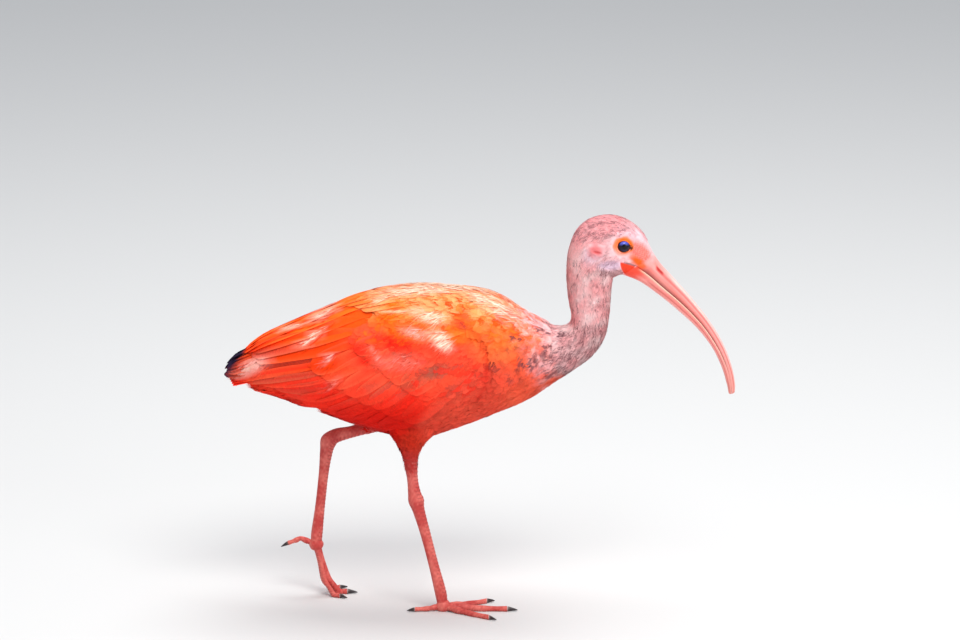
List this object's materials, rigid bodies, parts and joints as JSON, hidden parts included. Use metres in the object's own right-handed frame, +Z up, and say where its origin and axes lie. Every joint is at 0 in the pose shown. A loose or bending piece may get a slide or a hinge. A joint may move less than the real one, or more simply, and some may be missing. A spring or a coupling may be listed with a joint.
{
  "type": "scarlet ibis",
  "caption": "Life-size still model of a wading bird in mid-stride, with folded wings, a long down-curved bill and one heel lifted.",
  "frame": {"origin": "middle of the bounding box in X and Y, at the level of the floor that the feet rest on", "axes": "+X the way the bird faces, +Y to the bird's left, +Z up"},
  "size_m": [0.4426, 0.1214, 0.35],
  "materials": {
    "plumage": "soft feathers, scarlet to orange-red",
    "neck_plumage": "short soft feathers, pink with brown flecks",
    "bill": "satin horn, salmon pink",
    "leg_skin": "dry scaly skin, dusky red",
    "claw": "dark horn",
    "eye": "wet gloss, very dark"
  },
  "bodies": {
    "root": {"torso": "plumage", "neck_lower": "neck_plumage", "neck_upper": "neck_plumage", "head": "neck_plumage", "eye_left": "eye", "eye_right": "eye", "bill_upper": "bill", "bill_lower": "bill", "wing_left": "plumage", "wing_right": "plumage", "tail": "plumage", "thigh_left": "plumage", "thigh_right": "plumage", "shank_left": "leg_skin", "shank_right": "leg_skin", "tarsus_left": "leg_skin", "tarsus_right": "leg_skin", "foot_left": "leg_skin", "foot_right": "leg_skin", "claw_inner_left": "claw", "claw_middle_left": "claw", "claw_outer_left": "claw", "claw_hind_left": "claw", "claw_inner_right": "claw", "claw_middle_right": "claw", "claw_outer_right": "claw", "claw_hind_right": "claw"}
  },
  "joints": []
}
